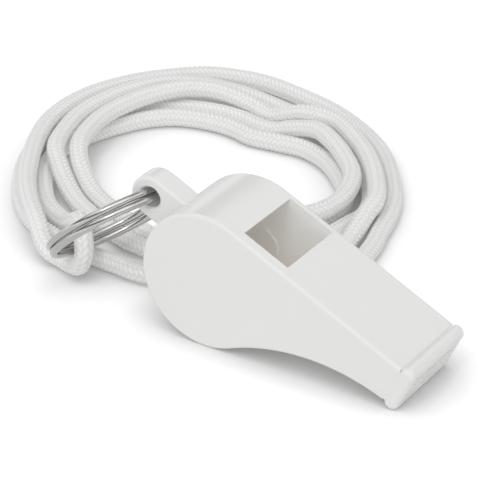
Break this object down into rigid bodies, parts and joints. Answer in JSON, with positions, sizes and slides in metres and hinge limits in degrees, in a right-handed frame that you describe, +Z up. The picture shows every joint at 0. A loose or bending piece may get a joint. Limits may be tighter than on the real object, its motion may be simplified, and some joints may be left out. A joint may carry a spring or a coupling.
{
  "type": "whistle",
  "caption": "White plastic pea whistle with a bite lip, a nickel split ring through its lug and a long white braided neck lanyard laid in a coil behind it.",
  "frame": {"origin": "on the table at the middle of the bounding box of the whistle and its ring, without the lanyard; the drum and the lower lip bead stand at z = 0", "axes": "+X from the drum towards the mouthpiece, +Y from the flat cover towards the far side, +Z up"},
  "size_m": [0.095, 0.0817, 0.0229],
  "materials": {
    "white_plastic": "glossy white moulded styrene",
    "cork": "natural cork ball",
    "nickel": "nickel-plated spring steel",
    "white_cord": "round braided polyester cord"
  },
  "bodies": {
    "whistle": {"whistle_body": "white_plastic", "side_cover": "white_plastic", "lanyard": "white_cord", "lanyard_ferrule": "nickel"},
    "ring": {"split_ring": "nickel"},
    "pea": {"pea": "cork"}
  },
  "joints": [
    {"name": "ring_swing", "type": "hinge", "parent": "whistle", "child": "ring", "pos_m": [-0.01554, 0, 0.01947], "axis": [0, 1, 0], "range_deg": [0, 130], "deforming": ["lanyard"]},
    {"name": "pea_orbit", "type": "hinge", "parent": "whistle", "child": "pea", "pos_m": [-0.00317, 0, 0.011], "axis": [0, 1, 0], "continuous": true}
  ]
}
